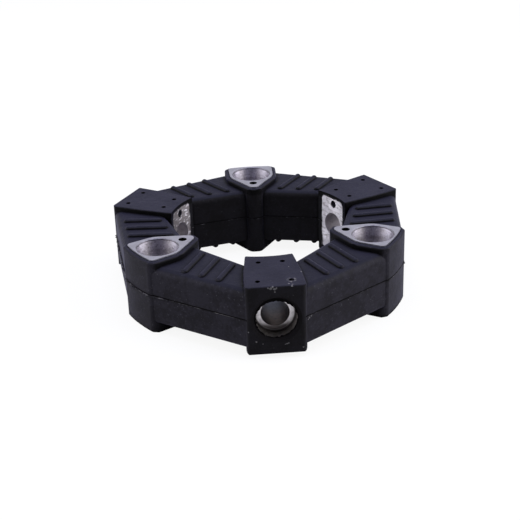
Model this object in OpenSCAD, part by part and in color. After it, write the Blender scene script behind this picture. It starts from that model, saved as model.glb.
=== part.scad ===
// Flexible coupling element: a moulded rubber ring with six aluminium inserts bonded into it.
// Three inserts have axial bores and three have radial bores, turn and turn about.
// The coupling axis is Z, and the back faces of the axial inserts lie on z = 0.
// Radial block 1 points to -Y, and the blocks follow each other anticlockwise.

/* [Coupling] */
// Diameter of the circle through the axial bores
bolt_circle_d = 100; // [96:0.5:120]
// How far the hub seat, the bare inner faces of the radial inserts, lies inside the bolt circle
hub_seat_depth = 11.2; // [10:0.1:13]
// Height of the parting plane above the middle of the axial inserts
parting_offset = 0.85; // [0:0.05:1.5]

/* [Axial inserts] */
// Length of an axial insert, from its back face to its front face
axial_insert_h = 31.1; // [28:0.1:37.5]
// Bore of an axial insert at its two ends
axial_bore_d = 16.8; // [13:0.1:18]
// Length of the land at each end of the bore
axial_land_l = 4.9; // [3:0.1:8]
// Depth of the relief between the two lands
axial_relief = 0.25; // [0.1:0.05:0.6]
// Chamfer at the ends of the bore
axial_chamfer = 0.35; // [0.2:0.05:0.6]
// Wall of metal round the bore
axial_boss_wall = 1.35; // [1.2:0.05:2.5]
// How far the boss's outline sits inwards from the bore
axial_boss_offset = 0.5; // [0.45:0.05:1]
// Metal outside the bore's centre, measured outwards from the bolt circle
axial_outer_reach = 9.35; // [9.3:0.05:12]
// Distance from the bore's centre to the centre of the rounded apex
axial_apex_offset = 14.1; // [13:0.1:16]
// Radius of the apex
axial_apex_r = 2.5; // [2:0.1:3]
// Half distance between the centres of the two outer corners
axial_corner_y = 8.25; // [7:0.05:10]
// Radius of the two outer corners
axial_corner_r = 1.75; // [1:0.05:2.5]
// Diameter of the locating holes, of which the radial inserts have two each
locating_hole_d = 3.4; // [2:0.1:4]
// Distance from the bore's centre to the locating hole
locating_hole_offset = 11.7; // [11.4:0.1:13]

/* [Radial inserts] */
// Height of a radial insert
radial_insert_h = 25.2; // [21:0.1:27]
// Length of a radial insert along its bolt axis
radial_insert_l = 25.25; // [22:0.05:30]
// Half width of a radial insert at its outer face
radial_outer_y = 9.9; // [9.6:0.05:12]
// Half width of a radial insert at the hub seat
radial_inner_y = 7.4; // [6.6:0.05:8.2]
// Rounding of the long edges of a radial insert
radial_edge_r = 1.8; // [0.5:0.1:2]
// Through bore for the radial bolt
radial_bore_d = 11; // [8:0.1:13]
// Counterbore in the outer face
radial_counterbore_d = 16.5; // [14:0.1:18]
// Depth of the counterbore from the metal's outer face
radial_counterbore_l = 4.4; // [2:0.1:8]
// Distance from the axis of a locating hole in the hub seat to the end of the insert
face_hole_edge = 2.7; // [2.4:0.1:3]
// Depth of the locating holes in the hub seat
face_hole_l = 7; // [3:0.1:10]

/* [Rubber blocks] */
// Rubber round the sides of the inserts
skin = 1.75; // [1.4:0.05:2.1]
// Rubber over the front ends of the radial inserts
front_skin = 1.4; // [1:0.05:2]
// Rubber over the back ends of the radial inserts
back_skin = 1.9; // [1:0.05:2.4]
// How far the rubber rim lies below the front face of an axial insert
front_rim_drop = 0.45; // [0.2:0.05:1]
// How far the rubber rim lies short of the back face of an axial insert
back_rim_drop = 0.1; // [0.1:0.05:0.6]
// Rounding of the front rim round an axial insert
rim_r = 1; // [0.6:0.05:1.2]
// Rounding of the back rim round an axial insert
back_rim_r = 0.3; // [0.2:0.05:1.2]
// Rounding of the front edges of a radial block, and of its outer face's back edge
block_edge_r = 0.6; // [0.4:0.05:1.2]
// Rounding of the back edges of a radial block's flanks
block_flank_r = 1.7; // [0.6:0.05:1.8]
// Radius of the upright corners of a radial block
block_corner_r = 2; // [1.9:0.1:3]
// Rubber beside a radial insert at the hub seat
seat_skin = 2.2; // [1.6:0.05:2.8]
// How far the flanks of a radial block bulge halfway along
block_bulge = 0.5; // [0.3:0.05:0.8]
// Diameter of the opening in the rubber at the outer face
opening_mouth_d = 19.4; // [17:0.1:21]
// Diameter of the holes that the mould's support pins leave in the rubber
pin_hole_d = 2; // [1:0.1:3]
// Inner pair of pin holes, from the hub seat and from the block's middle line
pin_inner = [5.2, 4.7];
// Outer pair of pin holes, from the outer face and from the block's middle line
pin_outer = [5.1, 6.4];

/* [Arms] */
// Height of an arm, the rubber between two blocks
arm_h = 23.9; // [20:0.1:25]
// How far behind the outer face of a radial block the outer wall starts
arm_setback = 1.3; // [0.6:0.1:5]
// How far the outer wall lies inside the rounded corner of the axial block
arm_corner_step = 0.25; // [0.05:0.05:1.2]
// How far from the hub seat, along the bolt axis, the inner wall meets the radial block
arm_seat_gap = 0.6; // [0.4:0.1:2]
// How far the inner wall passes inside the centre of the axial block's apex
arm_apex_lap = 0.95; // [0.5:0.05:2]
// Rounding of the outer edge at the front face
arm_outer_r = 3.2; // [2:0.1:4]
// Rounding of the inner edge at the front face
arm_inner_r = 2.8; // [2:0.1:4]
// Rounding of both edges at the back face
arm_back_r = 1.5; // [1:0.1:4]
// Number of ribs across each face of an arm
rib_count = 3; // [1:1:3]
// Distance between the ribs
rib_pitch = 7.7; // [6:0.1:8]
// Radius of a rib
rib_r = 1.3; // [1:0.05:1.5]
// Height of a rib above the arm
rib_h = 1.15; // [0.6:0.05:1.25]
// Distance from the end of a rib to the outer wall of the arm
rib_outer_margin = 2.6; // [2:0.1:6]
// Distance from the end of a rib to the inner wall of the arm
rib_inner_margin = 3.7; // [2:0.1:6]
// Angle between the ribs and the radial block's bolt axis
rib_angle = 25.5; // [20:0.1:35]
// Distance of the middle rib from the bisector of the arm, towards the axial block
rib_shift = -0.7; // [-2:0.05:2]

/* [Hidden] */
$fn = 96;

eps = 0.5;                       // overrun of a cut beyond the face that it opens
sliver = 0.02;                   // how far a plain form stands outside the walls that trim it
sector = 60;                     // angle between a radial block and the next axial block
first_block_angle = -90;
bolt_circle_r = bolt_circle_d / 2;
span = 2 * bolt_circle_d;        // more than any wall is long
hub_seat_r = bolt_circle_r - hub_seat_depth;
metal_reach = hub_seat_r + radial_insert_l;
block_reach = metal_reach + skin;
counterbore_floor = metal_reach - radial_counterbore_l;
parting_z = axial_insert_h / 2 + parting_offset;
block_outer_y = radial_outer_y + skin;
block_inner_y = radial_inner_y + seat_skin;
block_mid_y = (block_outer_y + block_inner_y) / 2 + block_bulge;
block_h = radial_insert_h + front_skin + back_skin;
block_z = parting_z - radial_insert_h / 2 - back_skin;
arm_z = parting_z - arm_h / 2;
axial_block_h = axial_insert_h - front_rim_drop - back_rim_drop;
arc_r = bolt_circle_r + axial_outer_reach;

// The circles that an axial insert's outline wraps, as [x, y, radius], x along its radius.
// The two corner circles touch the outer arc, which is centred on the coupling axis.
axial_corner_x = sqrt(pow(arc_r - axial_corner_r, 2) - pow(axial_corner_y, 2));
axial_boss = [bolt_circle_r - axial_boss_offset, 0, axial_bore_d / 2 + axial_boss_wall];
axial_apex = [bolt_circle_r - axial_apex_offset, 0, axial_apex_r];
axial_corner = [axial_corner_x, axial_corner_y, axial_corner_r];
axial_circles = [flipped(axial_corner), axial_corner, axial_boss, axial_apex, axial_boss];
corner_bearing = atan2(axial_corner_y, axial_corner_x);

// The circles at the corners of a radial block's outline, whose bolt axis is X.
block_outer = [block_reach - block_corner_r, block_outer_y - block_corner_r, block_corner_r];
block_bend = [(hub_seat_r + block_reach) / 2, block_mid_y - block_corner_r, block_corner_r];
block_inner = [hub_seat_r, block_inner_y - block_corner_r, block_corner_r];
block_circles = [
    flipped(block_outer), block_outer, block_bend,
    block_inner, flipped(block_inner), flipped(block_bend)
];

// A circle [x, y, radius] mirrored in the X axis or turned, and circles made larger.
function flipped(c) = [c.x, -c.y, c.z];
function turned(c, a) = [c.x * cos(a) - c.y * sin(a), c.x * sin(a) + c.y * cos(a), c.z];
function grown(circles, by) = [for (c = circles) [c.x, c.y, c.z + by]];

function unit(a) = [cos(a), sin(a)];
// The angle of the outward normal of the line that touches circle a and then circle b.
function normal_of(a, b) = atan2(b.y - a.y, b.x - a.x) - acos((a.z - b.z) / norm([b.x - a.x, b.y - a.y]));
// The point where a line whose normal is at the angle n touches circle c.
function touching(c, n) = [c.x, c.y] + c.z * unit(n);
// The ends of the straight sides of a belt round circles that are listed anticlockwise.
function ends(circles) = [
    for (i = [0 : len(circles) - 1])
        let (a = circles[i], b = circles[(i + 1) % len(circles)], n = normal_of(a, b))
            each [touching(a, n), touching(b, n)]
];
// A wall is [reach, normal]: its distance from the coupling axis and the angle of its normal.
function wall_at(c, n) = [touching(c, n) * unit(n), n];
function both_sides(walls) = [for (w = walls, side = [-1, 1]) [w[0], side * w[1]]];
// How far the ray from p at the angle a runs to a wall.
function run_to(p, a, wall) = (wall[0] - p * unit(wall[1])) / (unit(a) * unit(wall[1]));

corner_normal = normal_of(axial_corner, axial_boss);
axial_walls = concat([wall_at(axial_apex, 180)], both_sides([
    wall_at(axial_corner, (corner_normal + 360) / 2),
    wall_at(axial_corner, corner_normal),
    wall_at(axial_boss, normal_of(axial_boss, axial_apex))
]));
block_face = [block_reach, 0];
block_flanks = both_sides([
    wall_at(block_outer, normal_of(block_outer, block_bend)),
    wall_at(block_bend, normal_of(block_bend, block_inner))
]);
insert_corner = [metal_reach, radial_outer_y, 0];
insert_walls = concat([[metal_reach, 0]], both_sides([
    wall_at(insert_corner, normal_of(insert_corner, [hub_seat_r, radial_inner_y, 0]))
]));

// The arm's outer wall runs from the flank of a radial block to the corner of the next axial block.
// Its inner wall runs from the axial block's apex to the inner corner of the radial block.
wall_start = [block_reach - arm_setback, block_outer_y, 0];
wall_end = turned(grown([flipped(axial_corner)], skin - arm_corner_step)[0], sector);
outer_wall = wall_at(wall_start, normal_of(wall_start, wall_end));
// Where the outer wall, run on into the block, passes closest to the centre of the block's corner.
corner_gap = outer_wall[0] - [block_outer.x, block_outer.y] * unit(outer_wall[1]);
wall_root = [block_outer.x, block_outer.y] + corner_gap * unit(outer_wall[1]);
inner_start = turned([axial_apex.x, 0, arm_apex_lap], sector);
inner_end = [hub_seat_r + arm_seat_gap, block_inner_y, 0];
inner_wall = wall_at(inner_start, normal_of(inner_start, inner_end));

// A belt drawn tight round circles.
module belt(circles) {
    for (c = circles) translate([c.x, c.y]) circle(c.z);
    polygon(ends(circles));
}

// The section behind a wall on x = 0, with its front and back edges rounded.
module wall_section(depth, h, front_r, back_r) {
    wider = max(front_r, back_r);
    translate([-depth, 0]) square([depth - wider, h]);
    translate([-wider - eps, back_r]) square([wider + eps, h - front_r - back_r]);
    translate([-wider - eps, 0]) square([wider - back_r + eps, h / 2]);
    translate([-wider - eps, h / 2]) square([wider - front_r + eps, h / 2]);
    translate([-back_r, back_r]) circle(back_r);
    translate([-front_r, h - front_r]) circle(front_r);
}

// All that lies behind a wall of height h, which is moved outwards by a given distance.
module behind(wall, by, h, front_r, back_r) {
    rotate(wall[1]) translate([wall[0] + by, span / 2, 0]) rotate([90, 0, 0])
        linear_extrude(span) wall_section(span, h, front_r, back_r);
}

// The outline of an axial insert, or of its rubber, whose outer side is an arc.
module axial_outline(by) {
    belt(grown(axial_circles, by));
    intersection() {
        circle(arc_r + by);
        translate([(arc_r + by) * cos(corner_bearing), -bolt_circle_r]) square(bolt_circle_d);
    }
}

module axial_insert_form() {
    linear_extrude(axial_insert_h) axial_outline(0);
}

// A tapered block with rounded edges, which runs on inwards past the hub seat.
module radial_insert_form() {
    translate([0, 0, parting_z - radial_insert_h / 2]) intersection() {
        translate([hub_seat_r - skin, -block_outer_y, 0])
            cube([block_reach - hub_seat_r, 2 * block_outer_y, radial_insert_h]);
        intersection_for (w = insert_walls) behind(w, 0, radial_insert_h, radial_edge_r, radial_edge_r);
    }
}

// The bore of an axial insert: a relieved middle between two lands with chamfered mouths.
module axial_bore() {
    r = axial_bore_d / 2;
    relief_r = r + axial_relief;
    mouth_r = r + axial_chamfer + eps;
    rotate_extrude() polygon([
        [0, -eps], [mouth_r, -eps], [r, axial_chamfer],
        [r, axial_land_l], [relief_r, axial_land_l],
        [relief_r, axial_insert_h - axial_land_l], [r, axial_insert_h - axial_land_l],
        [r, axial_insert_h - axial_chamfer], [mouth_r, axial_insert_h + eps], [0, axial_insert_h + eps]
    ]);
}

// An axial insert on the X axis: a rounded wedge with a bore and a locating hole.
module axial_insert() {
    color("gainsboro") difference() {
        axial_insert_form();
        translate([bolt_circle_r, 0, 0]) axial_bore();
        translate([bolt_circle_r - locating_hole_offset, 0, -eps])
            cylinder(d = locating_hole_d, h = axial_insert_h + 2 * eps);
    }
}

// A radial insert on the X axis: a counterbored block whose inner face seats on the hub.
module radial_insert() {
    color("gainsboro") difference() {
        radial_insert_form();
        cylinder(r = hub_seat_r, h = axial_insert_h);
        translate([0, 0, parting_z]) rotate([0, 90, 0]) {
            cylinder(d = radial_bore_d, h = block_reach);
            translate([0, 0, counterbore_floor]) cylinder(d = radial_counterbore_d, h = block_reach);
        }
        for (side = [-1, 1])
            translate([0, 0, parting_z + side * (radial_insert_h / 2 - face_hole_edge)]) rotate([0, 90, 0])
                cylinder(d = locating_hole_d, h = hub_seat_r + face_hole_l);
    }
}

// The rubber round an axial insert, on the X axis.
module axial_block() {
    translate([0, 0, back_rim_drop]) intersection() {
        linear_extrude(axial_block_h) axial_outline(skin + sliver);
        rotate_extrude() translate([arc_r + skin, 0]) wall_section(arc_r, axial_block_h, rim_r, back_rim_r);
        intersection_for (w = axial_walls) behind(w, skin, axial_block_h, rim_r, back_rim_r);
    }
}

// The rubber round a radial insert, on the X axis.
module radial_block() {
    translate([0, 0, block_z]) intersection() {
        linear_extrude(block_h) difference() {
            belt(grown(block_circles, sliver));
            circle(hub_seat_r);
        }
        behind(block_face, 0, block_h, block_edge_r, block_edge_r);
        intersection_for (w = block_flanks) behind(w, 0, block_h, block_edge_r, block_flank_r);
    }
}

// The arm from the radial block on the X axis to the next axial block.
// It ends inside the blocks, on a line through the centres of the axial block's circles.
module arm() {
    lap = 0.2 * (flipped(axial_corner) - axial_apex);
    inner_end = turned(axial_apex - lap, sector);
    outer_end = turned(flipped(axial_corner) + lap, sector);
    foot_y = block_inner_y - skin / 2;
    translate([0, 0, arm_z]) intersection() {
        linear_extrude(arm_h) polygon([
            [hub_seat_r - skin, foot_y],
            [wall_root.x, foot_y],
            [wall_root.x, block_outer_y],
            [outer_end.x, outer_end.y],
            [inner_end.x, inner_end.y]
        ]);
        behind(outer_wall, 0, arm_h, arm_outer_r, arm_back_r);
        behind(inner_wall, 0, arm_h, arm_inner_r, arm_back_r);
    }
}

// A round bar with ball ends along Z.
module capsule(l, r) {
    rotate_extrude() intersection() {
        union() {
            translate([0, r]) square([r, l - 2 * r]);
            for (z = [r, l - r]) translate([0, z]) circle(r);
        }
        square([r, l]);
    }
}

// The ribs on one face of the arm.
module ribs() {
    for (i = [0 : rib_count - 1]) {
        off = rib_shift + (i - (rib_count - 1) / 2) * rib_pitch;
        foot = bolt_circle_r * unit(sector / 2) + off * unit(sector / 2 + 90);
        outer_run = run_to(foot, rib_angle, outer_wall) - rib_outer_margin;
        inner_run = run_to(foot, rib_angle, inner_wall) + rib_inner_margin;
        translate([foot.x, foot.y, rib_h - rib_r]) rotate(rib_angle) translate([inner_run, 0, 0])
            rotate([0, 90, 0]) capsule(outer_run - inner_run, rib_r);
    }
}

module ribbed_arm() {
    arm();
    translate([0, 0, arm_z + arm_h]) ribs();
    translate([0, 0, arm_z]) mirror([0, 0, 1]) ribs();
}

// The opening in the rubber round the radial bolt, and the pin holes above and below.
module block_openings() {
    translate([0, 0, parting_z]) rotate([0, 90, 0]) {
        translate([0, 0, metal_reach - eps]) cylinder(d = radial_counterbore_d, h = skin + 2 * eps);
        translate([0, 0, metal_reach])
            cylinder(d1 = radial_counterbore_d, d2 = opening_mouth_d, h = skin);
    }
    for (p = [[hub_seat_r + pin_inner.x, pin_inner.y], [block_reach - pin_outer.x, pin_outer.y]])
        for (side = [-1, 1])
            translate([p.x, side * p.y, block_z - eps]) cylinder(d = pin_hole_d, h = block_h + 2 * eps);
}

module block_place(i) {
    rotate(first_block_angle + i * 2 * sector) children();
}

module rubber_body() {
    color("dimgray") difference() {
        for (i = [0 : 2]) block_place(i) {
            radial_block();
            rotate(sector) axial_block();
            ribbed_arm();
            mirror([0, 1, 0]) ribbed_arm();
        }
        for (i = [0 : 2]) block_place(i) {
            radial_insert_form();
            rotate(sector) axial_insert_form();
            block_openings();
        }
    }
}

module axial_insert_at(i) {
    block_place(i) rotate(sector) axial_insert();
}

module radial_insert_at(i) {
    block_place(i) radial_insert();
}

rubber_body();
axial_insert_at(0);  // axial_insert_1
axial_insert_at(1);  // axial_insert_2
axial_insert_at(2);  // axial_insert_3
radial_insert_at(0);  // radial_insert_1
radial_insert_at(1);  // radial_insert_2
radial_insert_at(2);  // radial_insert_3
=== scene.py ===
import functools
import math

import bmesh
import bpy
from mathutils import Matrix, Vector, noise
from mathutils.bvhtree import BVHTree


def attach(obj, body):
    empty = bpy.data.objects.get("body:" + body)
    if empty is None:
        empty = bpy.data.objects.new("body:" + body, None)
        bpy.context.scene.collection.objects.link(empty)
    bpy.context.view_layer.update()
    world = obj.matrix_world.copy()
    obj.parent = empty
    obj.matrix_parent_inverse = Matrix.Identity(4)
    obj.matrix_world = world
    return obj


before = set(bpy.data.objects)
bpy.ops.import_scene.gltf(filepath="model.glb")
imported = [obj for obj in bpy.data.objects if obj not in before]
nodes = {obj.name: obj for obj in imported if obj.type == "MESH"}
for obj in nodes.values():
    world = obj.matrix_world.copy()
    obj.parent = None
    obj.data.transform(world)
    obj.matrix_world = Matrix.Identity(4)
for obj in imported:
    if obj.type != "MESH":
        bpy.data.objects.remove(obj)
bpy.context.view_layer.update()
scene = bpy.context.scene

MM = 0.001
UP = Vector((0, 0, 1))
WHITE = (1, 1, 1, 1)

# Sizes of the CAD model. Z is the coupling axis, and radial insert 1 points to -Y.
TOP_Z = 31.1 * MM             # front faces of the axial inserts
BLOCK_TOP_Z = 30.4 * MM       # front faces of the radial blocks
ARM_TOP_Z = 28.35 * MM        # front faces of the arms
PARTING_Z = 16.4 * MM         # parting plane of the mould
ARM_BACK_Z = 4.45 * MM        # back faces of the arms
BOLT_R = 50 * MM              # bolt circle
AXIAL_BORE_R = 8.4 * MM
LOCATING_HOLE_AT = 38.3 * MM  # through hole in an axial insert, from the coupling axis
LOCATING_HOLE_R = 1.7 * MM
HUB_SEAT_R = 38.8 * MM        # inner faces of the radial inserts
METAL_REACH = 64.05 * MM      # outer faces of the radial inserts
BLOCK_REACH = 65.8 * MM       # outer faces of the radial blocks
RADIAL_BORE_R = 5.5 * MM
COUNTERBORE_R = 8.25 * MM
COUNTERBORE_FLOOR = 59.65 * MM
MOUTH_R = 9.7 * MM            # opening in the rubber at a radial block's outer face
SEAT_HALF_W = 7.4 * MM        # outline of the metal at the hub seat
SEAT_HALF_H = 12.6 * MM
SEAT_CORNER_R = 1.8 * MM

# Angle of each axial insert, and how strongly the rear of its bore is painted with shade.
AXIAL_INSERTS = {
    "axial_insert_1": (-30, 1),
    "axial_insert_2": (90, 0.75),
    "axial_insert_3": (210, 1),
}

# Colours of a radial bore at the hub seat and at the counterbore. The front bore's blue at the hub
# seat is a painted reflection of the light that comes in at that end.
FRONT_BORE = (0.04, 0.043, 0.066), (0.1, 0.074, 0.072)
REAR_BORE = (0.46, 0.43, 0.47), (0.36, 0.34, 0.37)

# Angle of each radial insert, how much rubber is smeared over its hub seat, and its bore's colours.
RADIAL_INSERTS = {
    "radial_insert_1": (-90, 0.5, FRONT_BORE),
    "radial_insert_2": (30, 0.45, REAR_BORE),
    "radial_insert_3": (150, 1, REAR_BORE),
}
RADIAL_ANGLES = [degrees for degrees, _, _ in RADIAL_INSERTS.values()]


def heading(degrees):
    """The level unit vector at an angle."""
    a = math.radians(degrees)
    return Vector((math.cos(a), math.sin(a), 0))


def radial_place(point, degrees):
    """How far along the bolt axis of a radial insert a point lies, and how far from that axis."""
    outwards = heading(degrees)
    along = point.dot(outwards)
    return along, (point - outwards * along - UP * PARTING_Z).length


def new_object(name, data):
    """A new object in the scene."""
    added = bpy.data.objects.new(name, data)
    scene.collection.objects.link(added)
    return added


# ---- node trees

COLOR_MIX_INPUTS = 0, 6, 7   # sockets of a mix node: factor and two colours
COLOR_MIX_OUTPUT = 2
MOST = 0.3, 0.7              # the range in which most of a noise's values lie
MIDDLE = 0.35, 0.65          # a narrower range, for stronger contrast


class Tree:
    """Builds a node tree. Most methods add a node and give its output."""

    def __init__(self, tree):
        self.tree = tree

    def set_inputs(self, node, inputs):
        """Sets a node's sockets to values, or links outputs to them."""
        for key, value in inputs.items():
            socket = node.inputs[key]
            if isinstance(value, bpy.types.NodeSocket):
                self.tree.links.new(value, socket)
            else:
                socket.default_value = value

    def node(self, kind, inputs=None, **settings):
        """Adds a node and gives the node itself."""
        node = self.tree.nodes.new(kind)
        for key, value in settings.items():
            setattr(node, key, value)
        self.set_inputs(node, inputs or {})
        return node

    def calc(self, operation, a, b=0.0):
        """The result of an operation on two numbers."""
        return self.node("ShaderNodeMath", {0: a, 1: b}, operation=operation).outputs[0]

    def product(self, *factors):
        """All the factors multiplied."""
        return functools.reduce(functools.partial(self.calc, "MULTIPLY"), factors)

    def largest(self, *values):
        """The largest of the values."""
        return functools.reduce(functools.partial(self.calc, "MAXIMUM"), values)

    def vector_calc(self, operation, a, b=(0, 0, 0), output="Vector"):
        """The result of an operation on two vectors."""
        node = self.node("ShaderNodeVectorMath", {0: a, 1: b}, operation=operation)
        return node.outputs[output]

    def distance(self, a, b):
        return self.vector_calc("DISTANCE", a, b, "Value")

    def dot(self, a, b):
        return self.vector_calc("DOT_PRODUCT", a, b, "Value")

    def level_direction(self, vector):
        """The direction of the level part of a vector."""
        return self.vector_calc("NORMALIZE", self.vector_calc("MULTIPLY", vector, (1, 1, 0)))

    def ramp(self, value, low, high, to_low=0.0, to_high=1.0):
        """Smoothly maps low..high to to_low..to_high."""
        inputs = {"Value": value, "From Min": low, "From Max": high,
                  "To Min": to_low, "To Max": to_high}
        node = self.node("ShaderNodeMapRange", inputs, interpolation_type="SMOOTHSTEP")
        return node.outputs["Result"]

    def mix(self, factor, *colors):
        """Mixes two colours, each an output or three numbers."""
        colors = [c if isinstance(c, bpy.types.NodeSocket) else (*c, 1) for c in colors]
        inputs = dict(zip(COLOR_MIX_INPUTS, [factor, *colors]))
        return self.node("ShaderNodeMix", inputs, data_type="RGBA").outputs[COLOR_MIX_OUTPUT]

    def coat(self, color, other, mask, share):
        """Lays another colour over a colour. Where the mask is 1, it covers the share given."""
        return self.mix(self.product(mask, share), color, other)

    def mix_shaders(self, factor, a, b):
        """Adds a node that mixes what two nodes shade, and gives the node itself."""
        return self.node("ShaderNodeMixShader", {0: factor, 1: a.outputs[0], 2: b.outputs[0]})

    def object_place(self):
        """The place of the shaded point."""
        return self.node("ShaderNodeTexCoord").outputs["Object"]

    def turned_place(self, degrees):
        """The place in a frame turned to an angle about the coupling axis: x outwards, z up."""
        inputs = {"Vector": self.object_place(), "Axis": UP, "Angle": math.radians(-degrees)}
        return self.node("ShaderNodeVectorRotate", inputs, rotation_type="AXIS_ANGLE").outputs[0]

    def normal(self):
        """The direction that the surface faces."""
        return self.node("ShaderNodeNewGeometry").outputs["Normal"]

    def openness(self, reach, samples):
        """1 on open surface, less where something else is nearer than reach."""
        inputs = {"Distance": reach}
        return self.node("ShaderNodeAmbientOcclusion", inputs, samples=samples).outputs["AO"]

    def noise(self, place, size, detail, roughness, distortion=0.0):
        """Noise from 0 to 1 whose features are about size metres across, with layers of detail."""
        inputs = {"Vector": place, "Scale": 1 / size, "Detail": detail, "Roughness": roughness,
                  "Distortion": distortion}
        return self.node("ShaderNodeTexNoise", inputs).outputs["Fac"]

    def cells(self, place, size):
        """Distance to the nearest of points about size metres apart, as a share of size."""
        inputs = {"Vector": place, "Scale": 1 / size}
        return self.node("ShaderNodeTexVoronoi", inputs).outputs["Distance"]

    def relief(self, *layers):
        """The normal of bumps laid over each other, each given by its height and its depth."""
        inputs = {"Strength": 1.0}
        for height, depth in layers:
            bump = self.node("ShaderNodeBump", {**inputs, "Height": height, "Distance": depth})
            inputs["Normal"] = bump.outputs["Normal"]
        return inputs["Normal"]

    def white_rays(self):
        """1 for the rays that see the white studio: from the camera, and in reflections."""
        path = self.node("ShaderNodeLightPath")
        kinds = "Is Camera Ray", "Is Glossy Ray", "Is Transmission Ray"
        return self.largest(*[path.outputs[kind] for kind in kinds])

    def camera_rays(self):
        """1 for the rays from the camera."""
        return self.node("ShaderNodeLightPath").outputs["Is Camera Ray"]


def new_material(name):
    """A new material, its tree and its shader node."""
    material = bpy.data.materials.new(name)
    material.use_nodes = True
    return material, Tree(material.node_tree), material.node_tree.nodes["Principled BSDF"]


# ---- camera, light and floor

# The camera looks at a point in front of the coupling axis, at the height of the front faces.
VIEW_AZIMUTH = math.radians(-4.1035)
VIEW_ELEVATION = math.radians(25.1351)
VIEW_ROLL = math.radians(-1.8624)
VIEW_DISTANCE = 449.385 * MM
VIEW_TARGET = Vector((-3.912 * MM, -43.347 * MM, TOP_Z))
LENS = 80.624
SENSOR_WIDTH = 36.0
CLIP_START, CLIP_END = 0.01, 20

STUDIO_FILL = 0.42           # light that the room gives from the sides and the back
FRONT_SHARE = 0.03           # how much of it is left towards the open front of the studio
FRONT_EDGE = -0.92, -0.5     # where the open front ends: how far a direction points to the back
FRONT_HEIGHT = 0.35          # how much the height of a direction counts in that

# Place, side, power and colour of each soft lamp. All shine at the middle of the scene.
LAMPS = {
    "overhead": ((0, 0, 1), 0.8, 7.4, (0.72, 0.75, 1)),
    "right": ((0.9, -0.1, 0.42), 1.0, 13.5, (1, 1, 1)),
    "left": ((-0.9, 0.02, 0.42), 1.0, 8.6, (1, 1, 1)),
}
LAMP_AIM = Vector((0, 0, 0))

FLOOR_SIZE = 6.0
FLOOR_DROP = 0.02 * MM       # how far the floor lies below the back faces of the axial inserts
FLOOR_WHITE = 0.9
FLOOR_GLOW = 0.9             # share of the floor's white that no shadow takes away
FLOOR_BOUNCE = 0.44          # how much of its light the floor gives back to the object
CONTACT_REACH = 40 * MM      # how near the object is where the floor's reflection darkens
CONTACT_SAMPLES = 8
CONTACT_RANGE = 0.1, 0.8     # how open the floor is where it is darkest and where it is white


def make_camera():
    """The camera of the photograph."""
    data = bpy.data.cameras.new("camera")
    data.lens = LENS
    data.sensor_width = SENSOR_WIDTH
    data.clip_start = CLIP_START
    data.clip_end = CLIP_END
    cos_e = math.cos(VIEW_ELEVATION)
    back = Vector((math.sin(VIEW_AZIMUTH) * cos_e, -math.cos(VIEW_AZIMUTH) * cos_e,
                   math.sin(VIEW_ELEVATION)))
    level = Vector((math.cos(VIEW_AZIMUTH), math.sin(VIEW_AZIMUTH), 0))
    upright = back.cross(level)
    right = math.cos(VIEW_ROLL) * level + math.sin(VIEW_ROLL) * upright
    up = -math.sin(VIEW_ROLL) * level + math.cos(VIEW_ROLL) * upright
    turn = Matrix((right, up, back)).transposed().to_4x4()
    camera = new_object("camera", data)
    camera.matrix_world = Matrix.Translation(VIEW_TARGET + back * VIEW_DISTANCE) @ turn
    scene.camera = camera


def make_world():
    """A white studio that is open at the front. The camera sees plain white all round."""
    world = bpy.data.worlds.new("studio")
    world.use_nodes = True
    t = Tree(world.node_tree)
    direction = t.node("ShaderNodeTexCoord").outputs["Generated"]
    flattened = t.vector_calc("MULTIPLY", direction, (1, 1, FRONT_HEIGHT))
    to_back = t.dot(t.vector_calc("NORMALIZE", flattened), (0, 1, 0))
    studio = t.ramp(to_back, *FRONT_EDGE, FRONT_SHARE, 1)
    light = world.node_tree.nodes["Background"]
    t.set_inputs(light, {"Color": WHITE, "Strength": t.product(studio, STUDIO_FILL)})
    gloss = t.node("ShaderNodeBackground", {"Color": WHITE, "Strength": studio})
    white = t.node("ShaderNodeBackground", {"Color": WHITE, "Strength": 1})
    mixed = t.mix_shaders(t.white_rays(), light, gloss)
    mixed = t.mix_shaders(t.camera_rays(), mixed, white)
    t.set_inputs(world.node_tree.nodes["World Output"], {"Surface": mixed.outputs[0]})
    scene.world = world


def make_lamps():
    """Large square lamps above and at both sides."""
    for name, (place, side, power, color) in LAMPS.items():
        data = bpy.data.lights.new(name, "AREA")
        data.shape = "SQUARE"
        data.size = side
        data.energy = power
        data.color = color
        lamp = new_object(name, data)
        lamp.location = place
        lamp.rotation_euler = (LAMP_AIM - Vector(place)).to_track_quat("-Z", "Y").to_euler()


def make_floor():
    """A white floor that shows only the shadow close to the object."""
    h = FLOOR_SIZE / 2
    mesh = bpy.data.meshes.new("floor")
    mesh.from_pydata([(-h, -h, 0), (h, -h, 0), (h, h, 0), (-h, h, 0)], [], [(0, 1, 2, 3)])
    material, t, shader = new_material("floor")
    seen = t.white_rays()
    t.set_inputs(shader, {
        "Base Color": t.mix(seen, (FLOOR_BOUNCE,) * 3, (FLOOR_WHITE,) * 3),
        "Roughness": 1,
        "Specular IOR Level": 0,
    })
    glow = t.node("ShaderNodeEmission", {"Color": WHITE, "Strength": 1})
    # Painted shade: in reflections the floor's glow fades near the object, by how enclosed the
    # floor is.
    free = t.ramp(t.openness(CONTACT_REACH, CONTACT_SAMPLES), *CONTACT_RANGE)
    share = t.product(seen, t.largest(free, t.camera_rays()), FLOOR_GLOW)
    mixed = t.mix_shaders(share, shader, glow)
    t.set_inputs(material.node_tree.nodes["Material Output"], {"Surface": mixed.outputs[0]})
    mesh.materials.append(material)
    floor = new_object("floor", mesh)
    floor.location.z = -FLOOR_DROP


# ---- rubber

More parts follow.
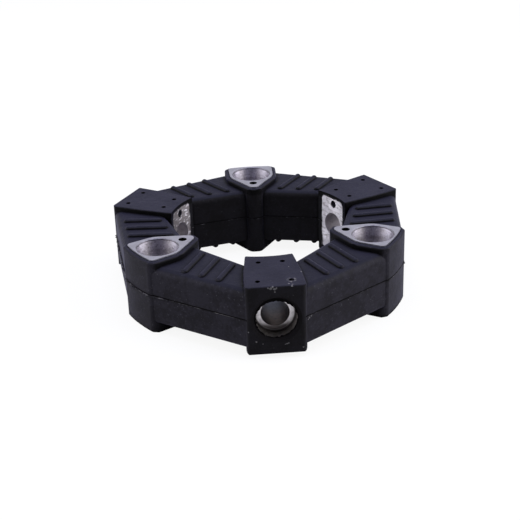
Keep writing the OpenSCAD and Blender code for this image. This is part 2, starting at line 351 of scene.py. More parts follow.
# Colours. Where there are two, the surface varies between them.
SKIN = (0.0115, 0.0106, 0.0142), (0.0188, 0.0175, 0.0245)
# painted light: bluer and lighter on faces that look up, for the sky light falling on them
SKY_LIT_TOP = (0.0135, 0.014, 0.029)
# painted shade on the walls that face the hub and on the radial blocks' ends
SHADED_WALL = (0.0035, 0.0032, 0.0028)
DARKER_ARM_FRONT = (0.0035, 0.0033, 0.0036)
DARK_FLANK = (0.0015, 0.0014, 0.0015)
# painted shade in creases and hollows
CREASE_SHADE = (0.002, 0.0019, 0.0022)
DUST = (0.07, 0.068, 0.078)
GRIT = (0.13, 0.13, 0.135)
CHALK = (0.15, 0.145, 0.15)
TORN_SKIN = (0.012, 0.0115, 0.0135), (0.1, 0.096, 0.104)
TORN_SHADE = (0.01, 0.0095, 0.012)
# near-black that paints shade: in the parting seam, on the lips over the counterbores and in the
# locating holes
PAINTED_SHADE_BLACK = (0.001, 0.0009, 0.001), (0.004, 0.0036, 0.004)
# near-black that paints the shade in the openings in front of the radial inserts
OPENING_SHADE_COLORS = (0.004, 0.0037, 0.0042), (0.012, 0.011, 0.0125)

# Noise patterns: size, detail and roughness.
CLOUDS = 9 * MM, 3, 0.6
MOTTLE = 1.6 * MM, 4, 0.65
GRAIN = 0.35 * MM, 2, 0.6
DUSTY_PATCHES = 14 * MM, 2, 0.6
TORN_PATCHES = 3.5 * MM, 2, 0.6
BARE_MOTTLE = 1.2 * MM, 3, 0.6
SCUFF_TEARS = 0.5 * MM, 3, 0.7
RING_GAPS = 0.9 * MM, 2, 0.6
DUST_PITCH = 0.9 * MM
GRIT_PITCH = 3.1 * MM

RUBBER_GLOSS = {
    "IOR": 1.5,
    "Specular IOR Level": 0.05,
    "Sheen Weight": 0.09,
    "Sheen Roughness": 0.3,
    "Sheen Tint": (0.4, 0.38, 1, 1),
}
CREASE_REACH = 2 * MM
HOLLOW_REACH = 7 * MM
CREASE_SAMPLES = 12

# Chalky scuffs: place and radius in millimetres.
SCUFFS = [
    # the front block's front face
    ((5.1, -63.8, 30.4), 0.45), ((6.0, -65.6, 30.2), 0.45), ((6.3, -64.6, 30.4), 0.35),
    ((6.1, -62.6, 30.4), 0.4), ((10.9, -54.2, 30.4), 0.5), ((6.5, -49.3, 30.4), 0.3),
    # the upper edge of its outer face
    ((-2.9, -65.7, 29.9), 0.35), ((-1.9, -65.8, 29.7), 0.6), ((-1.2, -65.5, 30.2), 0.4),
    ((-0.6, -65.8, 29.4), 0.55), ((-0.4, -65.8, 28.2), 0.3), ((0.2, -65.8, 29.7), 0.4),
    # below and beside the opening
    ((-10.7, -65.5, 11.8), 0.35), ((-7.9, -65.8, 7.7), 0.4), ((-5.4, -65.8, 6.6), 0.3),
    ((3.1, -65.8, 5.9), 0.25), ((3.7, -65.8, 6.1), 0.4), ((4.4, -65.8, 6.3), 0.3),
    ((9.9, -65.8, 4.1), 0.35),
    # where the right arm meets the front block, and on the right axial block
    ((12.1, -64.1, 15.0), 0.3), ((12.6, -63.8, 15.6), 0.5), ((13.4, -63.2, 15.9), 0.35),
    ((28.9, -34.7, 29.6), 0.35),
]
WORN_HOLE = (6.4, -60.7, 30.4)   # a pin hole with a chalky ring round it
WORN_RING_R = 1.5 * MM
WORN_RING_EDGE = 0.5 * MM, 0.2 * MM   # from the ring's middle, where it ends and where it is full
TEAR_DEPTH = 1.6                 # how far tears reach into a scuff, as a share of its radius


def rubber_color(t, place, dark, light):
    """Near-black rubber with a thin, uneven bloom and specks of dust and grit."""
    clouds = t.noise(place, *CLOUDS)
    mottle = t.noise(place, *MOTTLE)
    bloom = t.calc("ADD", t.product(clouds, 0.55), t.product(mottle, 0.45))
    color = t.mix(t.ramp(bloom, 0.42, 0.58), dark, light)
    dusty = t.ramp(t.noise(place, *DUSTY_PATCHES), 0.34, 0.6, 0.25, 1)
    dust = t.ramp(t.cells(place, DUST_PITCH), 0.26, 0.1)
    grit = t.ramp(t.cells(place, GRIT_PITCH), 0.07, 0.04)
    color = t.coat(color, DUST, t.product(dust, t.ramp(mottle, 0.44, 0.58), dusty), 0.75)
    color = t.coat(color, GRIT, t.product(grit, t.ramp(mottle, 0.43, 0.52)), 0.6)
    return color, clouds, mottle


def shaded_walls(t, place):
    """1 on the walls that face the hub and on the radial blocks' ends, which are painted darker as
    shade.
    """
    facing_hub = t.ramp(t.dot(t.normal(), t.level_direction(place)), -0.25, -0.7)
    reach = t.largest(*[t.dot(place, heading(degrees)) for degrees in RADIAL_ANGLES])
    return t.largest(facing_hub, t.ramp(reach, BLOCK_REACH - 1.3 * MM, BLOCK_REACH - 0.15 * MM))


def facing_up(t):
    """1 on faces that look up."""
    return t.ramp(t.dot(t.normal(), UP), 0.6, 0.9)


def arm_fronts(t, place):
    """1 on the front faces of the arms, which are made darker than the blocks' front faces."""
    below_blocks = t.ramp(t.dot(place, UP), BLOCK_TOP_Z - 0.3 * MM, BLOCK_TOP_Z - 1.2 * MM)
    return t.product(facing_up(t), below_blocks)


def rim_flanks(t, place):
    """1 on the flanks of the blocks above the arms, which are made near-black."""
    sideways = t.ramp(t.dot(t.normal(), t.level_direction(place)), 0.72, 0.4)
    upright = t.ramp(t.dot(t.normal(), UP), 0.75, 0.45)
    above_arms = t.ramp(t.dot(place, UP), ARM_TOP_Z - 0.95 * MM, ARM_TOP_Z - 0.15 * MM)
    return t.product(sideways, upright, above_arms)


def scuff_mask(t, place):
    """1 inside the scuffs and the worn ring, with torn outlines."""
    from_ring = t.calc("SUBTRACT", t.distance(place, Vector(WORN_HOLE) * MM), WORN_RING_R)
    ring = t.ramp(t.calc("ABSOLUTE", from_ring), *WORN_RING_EDGE)
    total = t.product(ring, t.ramp(t.noise(place, *RING_GAPS), 0.42, 0.6))
    tear = t.product(t.calc("SUBTRACT", t.noise(place, *SCUFF_TEARS), 0.5), TEAR_DEPTH)
    for point, size in SCUFFS:
        share = t.calc("DIVIDE", t.distance(place, Vector(point) * MM), size * MM)
        total = t.largest(total, t.ramp(t.calc("ADD", share, tear), 1, 0.7))
    return total


def rubber_material():
    """The moulded skin, with bloom, painted sky light on faces that look up, painted shade on the
    walls that face the hub, on the blocks' ends and in creases and hollows, darker arm fronts and
    block flanks, and chalky scuffs.
    """
    material, t, shader = new_material("rubber")
    place = t.object_place()
    color, clouds, mottle = rubber_color(t, place, *SKIN)
    # Painted shade: darker on the walls that face the hub and on the blocks' ends.
    color = t.coat(color, SHADED_WALL, shaded_walls(t, place), 0.62)
    color = t.coat(color, DARKER_ARM_FRONT, arm_fronts(t, place), 0.5)
    # Painted light: faces that look up are coated bluer and lighter, for the sky light from above.
    color = t.coat(color, SKY_LIT_TOP, facing_up(t), 0.45)
    color = t.coat(color, DARK_FLANK, rim_flanks(t, place), 0.85)
    # Painted shade: darker in creases and hollows, by how enclosed the surface is.
    crease_shade = t.ramp(t.openness(CREASE_REACH, CREASE_SAMPLES), 0.6, 0.99)
    hollow_shade = t.ramp(t.openness(HOLLOW_REACH, CREASE_SAMPLES), 0.42, 0.75, 0.3, 1)
    color = t.mix(t.product(crease_shade, hollow_shade), CREASE_SHADE, color)
    scuffs = scuff_mask(t, place)
    grain = t.noise(place, *GRAIN)
    t.set_inputs(shader, {
        "Base Color": t.coat(color, CHALK, scuffs, 0.7),
        "Roughness": t.ramp(mottle, *MOST, 0.5, 0.62),
        "Normal": t.relief((clouds, 0.25 * MM), (mottle, 0.06 * MM), (grain, 0.02 * MM),
                           (scuffs, 0.05 * MM)),
        **RUBBER_GLOSS,
    })
    return material


def torn_rubber_material():
    """Torn rubber, a little lighter than the moulded skin."""
    material, t, shader = new_material("torn_rubber")
    place = t.object_place()
    color, _, mottle = rubber_color(t, place, *TORN_SKIN)
    torn = t.ramp(t.noise(place, *TORN_PATCHES), 0.42, 0.58, 0.1, 1)
    t.set_inputs(shader, {
        "Base Color": t.mix(torn, TORN_SHADE, color),
        "Roughness": t.ramp(mottle, *MOST, 0.6, 0.8),
        "Normal": t.relief((mottle, 0.08 * MM)),
        **RUBBER_GLOSS,
    })
    return material


def black_shade_material(name, dark, light):
    """Smooth near-black rubber without bloom, which paints shade."""
    material, t, shader = new_material(name)
    mottle = t.noise(t.object_place(), *BARE_MOTTLE)
    t.set_inputs(shader, {
        "Base Color": t.mix(mottle, dark, light),
        "Roughness": t.ramp(mottle, *MOST, 0.6, 0.8),
        "Normal": t.relief((mottle, 0.05 * MM)),
        "Specular IOR Level": 0.02,
    })
    return material


# ---- metal

# Colours. Where there are two, the surface varies between them.
FACE_METAL = (0.265, 0.26, 0.315), (0.315, 0.31, 0.375)
EDGE_METAL = (0.13, 0.125, 0.15), (0.22, 0.215, 0.25)
BORE_METAL = (0.6, 0.57, 0.68), (0.75, 0.715, 0.85)
BORE_STAIN = (0.24, 0.21, 0.22)
BORE_SHADE = (0.2, 0.178, 0.18)
BORE_SPECK = (0.1, 0.085, 0.09)
BORE_GLINT = (0.85, 0.8, 0.86)
BORE_RIM = (0.08, 0.072, 0.085)
SEAT_METAL = (0.7, 0.68, 0.75), (0.88, 0.85, 0.91)
SEAT_SHADE = (0.52, 0.5, 0.555)
SMEARED_RUBBER = (0.13, 0.112, 0.12)
RECESS_WALL = (0.16, 0.145, 0.14), (0.27, 0.25, 0.24)
RECESS_FLOOR = (0.5, 0.48, 0.51), (0.7, 0.68, 0.71)
RECESS_DARKER_BELOW = (0.055, 0.042, 0.042)
RECESS_CORNER_SHADE_AND_DIRT = (0.02, 0.016, 0.014)

# Noise patterns: size, detail and roughness.
FACE_BLOTCH = 3.5 * MM, 4, 0.6
FACE_GRAIN = 0.25 * MM, 3, 0.7
EDGE_BLOTCH = 1.5 * MM, 4, 0.6
BORE_GROOVES = 0.3 * MM, 3, 0.6
BORE_BLOTCH = 2.6 * MM, 4, 0.65
BORE_SPECKS = 0.8 * MM, 3, 0.7
SEAT_GROOVES = 0.35 * MM, 3, 0.6
SEAT_SHADES = 7 * MM, 2, 0.5
SEAT_STROKES = 3.2 * MM, 4, 0.62, 0.4    # and distortion
RECESS_BLOTCH = 2.2 * MM, 4, 0.65
RECESS_GRAIN = 0.3 * MM, 3, 0.7

GROOVE_SCALE = (0.06, 0.06, 1)           # stretches noise into level machining marks
STROKE_SCALE = (1, 1, 2)                 # flattens noise into level smears
BORE_SHADE_DEPTH = 9 * MM                       # how far down an axial bore the painted shade grows
RIM_EDGE = 1.05 * MM, 0.6 * MM           # depths where a bore's dark rim begins and is full
CORNER_EDGE = 1.15 * MM, 0.6 * MM        # where the painted shade and dirt in a counterbore's corner begin, inside its wall
DARKER_BELOW_EDGE = 8 * MM, 6.9 * MM             # how far from the bolt axis the darkening on its floor ends
BORE_FADE = 44 * MM, 57 * MM             # where a radial bore changes from one colour to the other


def face_material():
    """Milled faces: pale, with fine grain."""
    material, t, shader = new_material("milled_aluminium")
    place = t.object_place()
    blotch = t.noise(place, *FACE_BLOTCH)
    grain = t.noise(place, *FACE_GRAIN)
    t.set_inputs(shader, {
        "Base Color": t.mix(t.ramp(blotch, *MIDDLE), *FACE_METAL),
        "Roughness": t.ramp(grain, *MOST, 0.36, 0.48),
        "Normal": t.relief((grain, 0.012 * MM)),
        "Metallic": 1,
    })
    return material


def edge_material():
    """The sloping edges: darker and duller than the faces."""
    material, t, shader = new_material("dull_aluminium")
    blotch = t.noise(t.object_place(), *EDGE_BLOTCH)
    t.set_inputs(shader, {
        "Base Color": t.mix(t.ramp(blotch, *MIDDLE), *EDGE_METAL),
        "Roughness": t.ramp(blotch, *MOST, 0.5, 0.65),
        "Normal": t.relief((blotch, 0.02 * MM)),
        "Metallic": 1,
    })
    return material


def grooved_metal(t, place, pattern, colors):
    """The colour and the height of level machining marks."""
    grooves = t.noise(t.vector_calc("MULTIPLY", place, GROOVE_SCALE), *pattern)
    return t.mix(t.ramp(grooves, *MOST), *colors), grooves


def below_face(distances):
    """The heights at these distances below the front faces of the axial inserts."""
    return [TOP_Z - distance for distance in distances]


def upward_tangent(t):
    """The upward direction, which stretches reflections across the level machining marks."""
    return t.node("ShaderNodeCombineXYZ", dict(zip("XYZ", UP))).outputs[0]


def bore_shade_mask(t, place, degrees):
    """1 at the rear of an axial bore, which is painted dull and brown as shade, most of all low
    down.
    """
    turn = math.radians(degrees)
    across = t.level_direction(t.vector_calc("SUBTRACT", place, (BOLT_R, 0, 0)))
    rear = t.dot(across, (math.sin(turn), math.cos(turn), 0))
    depth = t.ramp(t.dot(place, UP), *below_face((0, BORE_SHADE_DEPTH)), 0.66, 0.88)
    return t.product(t.ramp(rear, 0.4, 0.95), depth)


def bore_material(name, degrees, bore_shade_share):
    """The polished bore of an axial insert."""
    material, t, shader = new_material(name + "_bore")
    place = t.turned_place(degrees)
    color, grooves = grooved_metal(t, place, BORE_GROOVES, BORE_METAL)
    blotch = t.noise(place, *BORE_BLOTCH)
    specks = t.noise(place, *BORE_SPECKS)
    rim = t.ramp(t.dot(place, UP), *below_face(RIM_EDGE))
    color = t.coat(color, BORE_STAIN, t.ramp(blotch, 0.5, 0.68), 0.35)
    # Painted shade at the rear of the bore, deepest low down.
    color = t.coat(color, BORE_SHADE, bore_shade_mask(t, place, degrees), bore_shade_share)
    color = t.coat(color, BORE_SPECK, t.ramp(specks, 0.55, 0.66), 0.6)
    color = t.coat(color, BORE_GLINT, t.ramp(specks, 0.42, 0.32), 0.35)
    color = t.coat(color, BORE_RIM, rim, 0.85)
    t.set_inputs(shader, {
        "Base Color": color,
        "Roughness": t.ramp(blotch, *MOST, 0.46, 0.54),
        "Normal": t.relief((grooves, 0.01 * MM)),
        "Tangent": upward_tangent(t),
        "Metallic": 1,
        "Anisotropic": 0.95,
    })
    return material


def seat_material(name, degrees, smears):
    """The bare hub seat of a radial insert, smeared with rubber to the share given."""
    material, t, shader = new_material(name + "_seat")
    place = t.turned_place(degrees)
    color, grooves = grooved_metal(t, place, SEAT_GROOVES, SEAT_METAL)
    color = t.mix(t.ramp(t.noise(place, *SEAT_SHADES), 0.6, 0.4), color, SEAT_SHADE)
    strokes = t.noise(t.vector_calc("MULTIPLY", place, STROKE_SCALE), *SEAT_STROKES)
    start = 0.62 - 0.3 * smears
    smeared = t.product(t.ramp(strokes, start, start + 0.18), 0.3 + 0.6 * smears)
    t.set_inputs(shader, {
        "Base Color": t.mix(smeared, color, SMEARED_RUBBER),
        "Roughness": t.ramp(strokes, *MOST, 0.5, 0.62),
        "Normal": t.relief((smeared, 0.05 * MM), (grooves, 0.012 * MM)),
        "Tangent": upward_tangent(t),
        "Metallic": 0.85,
        "Anisotropic": 0.6,
    })
    return material


def recess_material(name, degrees, bore_colors):
    """The radial bore, dull and dark, and the counterbore, brighter, with painted shade and dirt in
    its corner.
    """
    material, t, shader = new_material(name + "_recess")
    place = t.turned_place(degrees)
    blotch = t.noise(place, *RECESS_BLOTCH)
    grain = t.noise(place, *RECESS_GRAIN)
    from_center = t.vector_calc("SUBTRACT", place, UP * PARTING_Z)
    across = t.vector_calc("MULTIPLY", from_center, (0, 1, 1))
    radius = t.vector_calc("LENGTH", across, output="Value")
    reach = t.dot(place, (1, 0, 0))

    # The counterbore's floor is darker towards the bottom, below the bore, and painted shade and
    # dirt lie all along its corner.
    depth = t.calc("SUBTRACT", PARTING_Z, t.dot(place, UP))
    below_bore = t.ramp(t.calc("DIVIDE", depth, RADIAL_BORE_R), 0.62, 1.08)
    darker_below = t.product(below_bore, t.ramp(radius, *DARKER_BELOW_EDGE))
    corner = t.ramp(radius, *[COUNTERBORE_R - inset for inset in CORNER_EDGE])
    shelf = t.mix(t.ramp(blotch, *MIDDLE), *RECESS_FLOOR)
    shelf = t.coat(shelf, RECESS_DARKER_BELOW, darker_below, 0.9)
    shelf = t.coat(shelf, RECESS_CORNER_SHADE_AND_DIRT, corner, 0.92)

    wall = t.mix(t.ramp(blotch, *MIDDLE), *RECESS_WALL)
    on_shelf = t.ramp(reach, COUNTERBORE_FLOOR + 0.12 * MM, COUNTERBORE_FLOOR + 0.02 * MM)
    bore = t.mix(t.ramp(reach, *BORE_FADE), *bore_colors)
    bore = t.coat(bore, Vector(bore_colors[0]) * 0.6, t.ramp(blotch, 0.45, 0.65), 0.5)
    in_bore = t.ramp(radius, RADIAL_BORE_R + 0.15 * MM, RADIAL_BORE_R + 0.02 * MM)
    t.set_inputs(shader, {
        "Base Color": t.mix(in_bore, t.mix(on_shelf, wall, shelf), bore),
        "Roughness": t.ramp(grain, *MOST, 0.4, 0.55),
        "Normal": t.relief((grain, 0.02 * MM)),
        "Metallic": 0.9,
    })
    return material


# ---- materials on the CAD model

NEAR = 0.1 * MM              # how near a polygon's middle lies to the surface that it belongs to
UPRIGHT, LEVEL = 0.2, 0.98   # slopes: how far the normal of a face points up or down


def paint(mesh, materials, choose):
    """Gives each polygon one of the materials, by the name that choose(polygon) gives."""
    names = list(materials)
    for material in materials.values():
        mesh.materials.append(material)
    for polygon in mesh.polygons:
        polygon.material_index = names.index(choose(polygon))


def paint_rubber_body(skin, opening_shade):
    """The moulded skin, and near-black rubber in the openings in front of the radial inserts, which
    paints their shade.
    """
    def choose(polygon):
        for degrees in RADIAL_ANGLES:
            along, from_axis = radial_place(polygon.center, degrees)
            if along > METAL_REACH - NEAR and from_axis < MOUTH_R - 0.02 * MM:
                return "opening"
        return "skin"

    paint(nodes["rubber_body"].data, {"skin": skin, "opening": opening_shade}, choose)


def paint_axial_insert(name, degrees, bore_shade_share, faces, edges, hole_shade):
    """Milled faces, dull edges, a polished bore and a locating hole painted black as shade."""
    bore_axis = heading(degrees) * BOLT_R
    hole_axis = heading(degrees) * LOCATING_HOLE_AT

    def choose(polygon):
        slope = abs(polygon.normal.z)
        from_hole = (polygon.center - hole_axis).to_2d().length
        from_bore = (polygon.center - bore_axis).to_2d().length
        if slope < UPRIGHT and from_hole < LOCATING_HOLE_R + NEAR:
            return "hole"
        if UPRIGHT < slope < LEVEL:
            return "edge"
        return "bore" if from_bore < AXIAL_BORE_R + 0.3 * MM else "face"

    bore = bore_material(name, degrees, bore_shade_share)
    materials = {"face": faces, "bore": bore, "edge": edges, "hole": hole_shade}
    paint(nodes[name].data, materials, choose)


def paint_radial_insert(name, degrees, smears, bore_colors, faces):
    """Milled faces, a bare hub seat, and a bore and counterbore with dirt in them."""
    outwards = heading(degrees)

    def choose(polygon):
        along, from_axis = radial_place(polygon.center, degrees)
        on_wall = abs(polygon.normal.dot(outwards)) < 0.5 and from_axis < COUNTERBORE_R + 0.05 * MM
        on_floor = abs(along - COUNTERBORE_FLOOR) < NEAR and from_axis < COUNTERBORE_R
        if on_wall or on_floor:
            return "recess"
        return "seat" if polygon.center.to_2d().length < HUB_SEAT_R + NEAR else "face"

    seat = seat_material(name, degrees, smears)
    recess = recess_material(name, degrees, bore_colors)
    paint(nodes[name].data, {"face": faces, "seat": seat, "recess": recess}, choose)


# ---- outlines

JOIN_DISTANCE = 0.001 * MM   # vertices nearer than this are one
CUT_TOLERANCE = 1e-8
SHORTEST_EDGE = 1e-9


def cut_loops(mesh, z):
    """The outlines in which the plane at height z cuts a mesh, as closed lists of points."""
    bm = bmesh.new()
    bm.from_mesh(mesh)
    bmesh.ops.remove_doubles(bm, verts=bm.verts, dist=JOIN_DISTANCE)
    geometry = bm.verts[:] + bm.edges[:] + bm.faces[:]
    cut = bmesh.ops.bisect_plane(
        bm, geom=geometry, dist=CUT_TOLERANCE, plane_co=(0, 0, z), plane_no=UP)
    bm.verts.index_update()
    links = {}
    for part in cut["geom_cut"]:
        if isinstance(part, bmesh.types.BMEdge):
            a, b = (v.index for v in part.verts)
            links.setdefault(a, []).append(b)
            links.setdefault(b, []).append(a)
    bm.verts.ensure_lookup_table()
    loops = []
    unseen = set(links)
    for start in sorted(links):
        loop, found = [], start if start in unseen else None
        while found is not None:
            loop.append(found)
            unseen.discard(found)
            found = next((i for i in sorted(links[found]) if i in unseen), None)
        if loop:
            loops.append([bm.verts[i].co.copy() for i in loop])
    bm.free()
    return loops


def resampled(loop, step):
    """Points at even steps round a closed outline."""
    ends = loop[1:] + loop[:1]
    lengths = [(b - a).length for a, b in zip(loop, ends)]
    total = sum(lengths)
    count = max(3, round(total / step))
    points = []
    run, i = 0.0, 0
    for k in range(count):
        at = total * k / count
        while run + lengths[i] < at and i < len(loop) - 1:
            run += lengths[i]
            i += 1
        points.append(loop[i].lerp(ends[i], (at - run) / max(lengths[i], SHORTEST_EDGE)))
    return points


def open_runs(points, keep):
    """The runs of neighbouring points that are kept, of a closed outline."""
    kept = [keep(p) for p in points]
    if all(kept) or not any(kept):
        return [points] if all(kept) else []
    first = kept.index(False)
    runs, run = [], []
    for k in range(len(points) + 1):
        i = (first + k) % len(points)
        if kept[i] and k < len(points):
            run.append(points[i])
        elif run:
            runs.append(run)
            run = []
    return runs


# ---- pieces of rubber that the CAD model doesn't have

ROOT_SINK = 0.25 * MM        # how far a strip is sunk into the rubber
THINNEST_EDGE = 0.02         # narrowest part of a lip or seat edge, in millimetres


def unevenness(place, seed, size):
    """Smooth noise from -1 to 1 whose features are about size metres across."""
    return noise.noise(place / size + Vector((seed, 2 * seed, 3 * seed)))


def tearing(place, waves, teeth, least=0.0):
    """How far a torn edge stands out at a place, in millimetres: gentle waves and sharp teeth.

    Each of the two is an amount, a seed and a size. Teeth lower than the least are left out."""
    wave_amount, *wave_pattern = waves
    tooth_amount, *tooth_pattern = teeth
    tooth = max(0, unevenness(place, *tooth_pattern) - least)
    return wave_amount * unevenness(place, *wave_pattern) + tooth_amount * tooth


def new_piece(name, mesh, material):
    """Adds a piece of rubber to the CAD model."""
    mesh.materials.append(material)
    piece = new_object(name, mesh)
    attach(piece, "root")


def ragged_strip(name, material, sections, taper, closed=False):
    """A thin fin through sections. Each has a root point, the direction in which the fin reaches
    out, the direction across it, its width, and half its thickness at the root."""
    count = len(sections)
    verts, quads = [], []
    for root, reach, across, width, half in sections:
        sunk, tip = root - reach * ROOT_SINK, root + reach * width
        thick, thin = across * half, across * half * taper
        verts += [sunk + thick, tip + thin, tip - thin, sunk - thick]
    for i in range(count if closed else count - 1):
        a, b = 4 * i, 4 * ((i + 1) % count)
        quads += [(a + k, a + (k + 1) % 4, b + (k + 1) % 4, b + k) for k in range(4)]
    if not closed:
        last = 4 * (count - 1)
        quads += [(3, 2, 1, 0), (last, last + 1, last + 2, last + 3)]
    mesh = bpy.data.meshes.new(name)
    mesh.from_pydata(verts, [], quads)
    bm = bmesh.new()
    bm.from_mesh(mesh)
    bmesh.ops.recalc_face_normals(bm, faces=bm.faces)
    bm.to_mesh(mesh)
    bm.free()
    new_piece(name, mesh, material)


FLASH_Z = PARTING_Z - 0.12 * MM
FLASH_STEP = 0.35 * MM       # distance between the points of the flash
FLASH_HALF = 0.17 * MM       # half its thickness at the root
FLASH_TAPER = 0.35           # thickness at the tip, as a share of that at the root
FLASH_WIDTH = 0.08           # in millimetres, as is what adds to it
FLASH_WAVES = 0.14, 3, 4.5 * MM
FLASH_TEETH = 0.3, 7, 1.15 * MM
LEAST_TOOTH = 0.05
THINNEST_FLASH = 0.03
SHORTEST_RUN = 8             # fewest points that make a piece of flash
METAL_CLEARANCE = 0.08 * MM  # the flash stops this far from the metal
MOUTH_CLEARANCE = 11 * MM    # and this far from the bolt axis at an opening
LEFT_WALL_X = -40 * MM       # the outer wall to the left of this has kept more flash
OUTER_WALL_R = 52 * MM
LEFT_WIDTH = 0.5
LEFT_WAVES = 0.2, 3, 4.5 * MM
LEFT_TEETH = 0.9, 7, 1.15 * MM
SEAM_SHADE_LIFT = 0.32 * MM        # how far the black strip of painted seam shade lies above the flash
SEAM_SHADE_WIDTH = 0.025 * MM
SEAM_SHADE_HALF = 0.25             # half its height, in millimetres, and how much that varies
SEAM_SHADE_WAVES = 0.16, 19, 2.5 * MM
SEAM_SHADE_TAPER = 0.8

# Where a larger bit of flash has stayed on: place, size and extra width, in millimetres.
TORN_BITS = [
    ((11.9, -64.2), 1.0, 0.45), ((56.4, -23.4), 1.0, 0.55), ((52.0, -42.0), 1.0, 0.3),
    ((49.0, -27.0), 0.8, 0.3), ((-30.0, -52.0), 1.0, 0.25), ((-60.0, 4.0), 2.0, 0.3),
]


def flash_width(place):
    """How far the flash stands out at a place: more on the left wall and at the torn bits."""
    if place.x < LEFT_WALL_X and math.hypot(place.x, place.y) > OUTER_WALL_R:
        width = LEFT_WIDTH + tearing(place, LEFT_WAVES, LEFT_TEETH)
    else:
        width = FLASH_WIDTH + tearing(place, FLASH_WAVES, FLASH_TEETH, LEAST_TOOTH)
        for (x, y), size, more in TORN_BITS:
            away = math.hypot(place.x / MM - x, place.y / MM - y) / size
            width += more * math.exp(-away * away)
    return max(THINNEST_FLASH, width) * MM


def seam_shade_half(place):
    """Half the height of the painted seam shade at a place."""
    amount, *pattern = SEAM_SHADE_WAVES
    return (SEAM_SHADE_HALF + amount * unevenness(place, *pattern)) * MM


def wall_directions(run, rubber_tree):
    """The level directions out of the rubber along a run of points, smoothed."""
    sides = []
    for i, p in enumerate(run):
        ahead, behind = run[min(i + 1, len(run) - 1)], run[max(i - 1, 0)]
        side = (ahead - behind).cross(UP).normalized()
        out_of_wall = rubber_tree.find_nearest(p)[1]
        sides.append(side if side.dot(out_of_wall) > 0 else -side)
    return [sum(sides[max(0, i - 2):i + 3], Vector()).normalized() for i in range(len(run))]


def parting_flash(torn_rubber, shade_black):
    """The flash where the mould's halves met on the free walls, and above it a thin black strip
    that paints the shade in the seam.
    """
    graph = bpy.context.evaluated_depsgraph_get()
    metal_trees = {name: BVHTree.FromObject(node, graph) for name, node in nodes.items()}
    rubber_tree = metal_trees.pop("rubber_body")

    def near_metal(p):
        found = [tree.find_nearest(p, METAL_CLEARANCE)[0] for tree in metal_trees.values()]
        return any(nearest is not None for nearest in found)

    def on_free_wall(p):
        if near_metal(p):
            return False
        for outwards in map(heading, RADIAL_ANGLES):
            along = p.dot(outwards)
            from_axis = (p - outwards * along).to_2d().length
            if along > METAL_REACH - 0.2 * MM and from_axis < MOUTH_CLEARANCE:
                return False
        return True

    runs = []
    for loop in cut_loops(nodes["rubber_body"].data, FLASH_Z):
        runs += open_runs(resampled(loop, FLASH_STEP), on_free_wall)
    long_runs = [run for run in runs if len(run) >= SHORTEST_RUN]
    for number, run in enumerate(long_runs, 1):
        flash, seam_shade = [], []
        for p, reach in zip(run, wall_directions(run, rubber_tree)):
            flash.append((p, reach, UP, flash_width(p), FLASH_HALF))
            seam_shade.append((p + UP * SEAM_SHADE_LIFT, reach, UP, SEAM_SHADE_WIDTH, seam_shade_half(p)))
        ragged_strip("parting_flash_%d" % number, torn_rubber, flash, FLASH_TAPER)
        ragged_strip("parting_seam_shade_%d" % number, shade_black, seam_shade, SEAM_SHADE_TAPER)


LIP_STEP = 0.25 * MM         # distance between the points of a lip
LIP_HALF = 0.14 * MM         # half its thickness at the root
LIP_TAPER = 0.4              # thickness at the tip, as a share of that at the root
LIP_WIDTH = 0.16             # in millimetres, as is what adds to it
LIP_AT_TOP = 0.85            # how much wider it is at the top, and at the left
LIP_AT_LEFT = 0.35
LIP_WAVES = 0.2, 11, 1.6 * MM
LIP_TEETH = 0.55, 5, 0.9 * MM
LIP_TORN_AT_FOOT = 0.8       # how much more torn it is at its foot


def mouth_lip(name, degrees, shade_black):
    """Rubber that has crept over the mouth of a counterbore, most of all at its top, in near-black
    that paints the shade there.
    """
    outwards = heading(degrees)
    sideways = UP.cross(outwards)
    center = outwards * (METAL_REACH + NEAR) + UP * PARTING_Z
    count = round(2 * math.pi * COUNTERBORE_R / LIP_STEP)
    sections = []
    for i in range(count):
        a = 2 * math.pi * i / count
        inwards = -(sideways * math.cos(a) + UP * math.sin(a))
        root = center - inwards * COUNTERBORE_R
        at_top = max(0, math.sin(a)) ** 1.6
        at_left = max(0, -math.cos(a)) ** 3
        at_foot = max(0, -math.sin(a)) ** 2
        torn = tearing(root, LIP_WAVES, LIP_TEETH) * (1 + LIP_TORN_AT_FOOT * at_foot)
        width = LIP_WIDTH + LIP_AT_TOP * at_top + LIP_AT_LEFT * at_left + torn
        sections.append((root, inwards, outwards, max(THINNEST_EDGE, width) * MM, LIP_HALF))
    ragged_strip("mouth_lip_" + name[-1], shade_black, sections, LIP_TAPER, closed=True)


EDGE_STEP = 0.3 * MM         # distance between the points of a seat edge
EDGE_HALF = 0.1 * MM         # half its thickness at the root
EDGE_TAPER = 0.5             # thickness at the tip, as a share of that at the root
EDGE_WIDTH = 0.2             # in millimetres, as is what adds to it
EDGE_WAVES = 0.3, 13, 2.2 * MM
EDGE_TEETH = 0.25, 17, 0.9 * MM
CORNER_STEPS = 8             # lengths that make a round corner of the seat


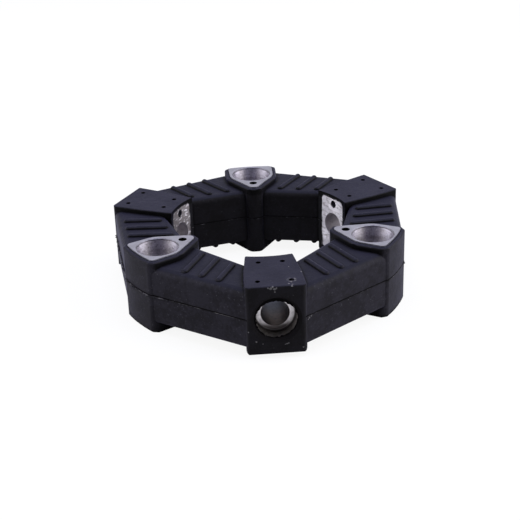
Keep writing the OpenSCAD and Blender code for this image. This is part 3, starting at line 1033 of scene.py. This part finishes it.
def seat_edge(name, degrees, torn_rubber):
    """The thin ragged edge of rubber round the bare hub seat."""
    w, h, r = SEAT_HALF_W - SEAT_CORNER_R, SEAT_HALF_H - SEAT_CORNER_R, SEAT_CORNER_R
    outline = []
    for corner, (x, y) in enumerate([(w, h), (-w, h), (-w, -h), (w, -h)]):
        for k in range(CORNER_STEPS + 1):
            a = math.radians(90 * corner + 90 * k / CORNER_STEPS)
            outline.append(Vector((x + r * math.cos(a), y + r * math.sin(a), 0)))
    points = resampled(outline, EDGE_STEP)
    outwards = heading(degrees)
    sideways = UP.cross(outwards)
    sections = []
    for i, p in enumerate(points):
        tangent = (points[(i + 1) % len(points)] - points[i - 1]).normalized()
        sine = p.x / HUB_SEAT_R
        bearing = sideways * sine + outwards * math.sqrt(1 - sine ** 2)
        root = bearing * HUB_SEAT_R + UP * (PARTING_Z + p.y)
        reach = (UP * tangent.x - UP.cross(bearing) * tangent.y).normalized()
        width = EDGE_WIDTH + tearing(root, EDGE_WAVES, EDGE_TEETH)
        sections.append((root, reach, -bearing, max(THINNEST_EDGE, width) * MM, EDGE_HALF))
    ragged_strip("seat_edge_" + name[-1], torn_rubber, sections, EDGE_TAPER, closed=True)


ARM_TURN = 30                # middle of an arm, turned from its radial insert
INNER_WALL_TURN = 46.4       # direction that the inner wall of an arm faces, turned likewise
INNER_WALL_AT = 34.05 * MM   # its distance from the coupling axis
RIB_TURN = 25.5              # direction of an arm's ribs, turned likewise
RIB_SHIFT = -0.7 * MM        # from the middle of the arm to the middle rib
RIB_PITCH = 7.7 * MM
RIB_R = 1.3 * MM
RIB_H = 1.15 * MM
RIB_END_MARGIN = 0.6 * MM    # from the inner wall to the end of a rib at the back
RIB_END_L = 4 * MM
RIB_SEGMENTS, RIB_RINGS = 24, 12


def back_rib_ends(rubber):
    """Runs the ribs at the back on to the inner walls, where the ends show below the arms."""
    shape = bmesh.new()
    for degrees in RADIAL_ANGLES:
        for side in (1, -1):
            along = heading(degrees + side * RIB_TURN)
            wall = heading(degrees + side * INNER_WALL_TURN)
            middle = heading(degrees + side * ARM_TURN) * BOLT_R
            across = heading(degrees + side * (ARM_TURN + 90))
            for i in (-1, 0, 1):
                foot = middle + across * (RIB_SHIFT + i * RIB_PITCH)
                run = (INNER_WALL_AT - foot.dot(wall)) / along.dot(wall) + RIB_END_MARGIN + RIB_R
                center = foot + along * run + UP * (ARM_BACK_Z + RIB_R - RIB_H)
                ball = bmesh.ops.create_uvsphere(
                    shape, u_segments=RIB_SEGMENTS, v_segments=RIB_RINGS, radius=RIB_R,
                    matrix=Matrix.Translation(center))
                for v in ball["verts"]:
                    if (v.co - center).dot(along) > 0.01 * MM:
                        v.co += along * RIB_END_L
    for face in shape.faces:
        face.smooth = True
    mesh = bpy.data.meshes.new("back_rib_ends")
    shape.to_mesh(mesh)
    shape.free()
    new_piece("back_rib_ends", mesh, rubber)


# ---- assembly

make_camera()
make_world()
make_floor()
make_lamps()
scene.view_settings.view_transform = "Standard"

rubber = rubber_material()
torn_rubber = torn_rubber_material()
# Near-black rubber that paints shade in the seam, on the lips and in the locating holes.
painted_black = black_shade_material("shade_black_rubber", *PAINTED_SHADE_BLACK)
opening_shade = black_shade_material("opening_shade_rubber", *OPENING_SHADE_COLORS)
faces = face_material()
edges = edge_material()

for node in nodes.values():
    node.data.materials.clear()
paint_rubber_body(rubber, opening_shade)
for name, (degrees, bore_shade_share) in AXIAL_INSERTS.items():
    paint_axial_insert(name, degrees, bore_shade_share, faces, edges, painted_black)
for name, (degrees, smears, bore_colors) in RADIAL_INSERTS.items():
    paint_radial_insert(name, degrees, smears, bore_colors, faces)
    mouth_lip(name, degrees, painted_black)
    seat_edge(name, degrees, torn_rubber)
parting_flash(torn_rubber, painted_black)
back_rib_ends(rubber)
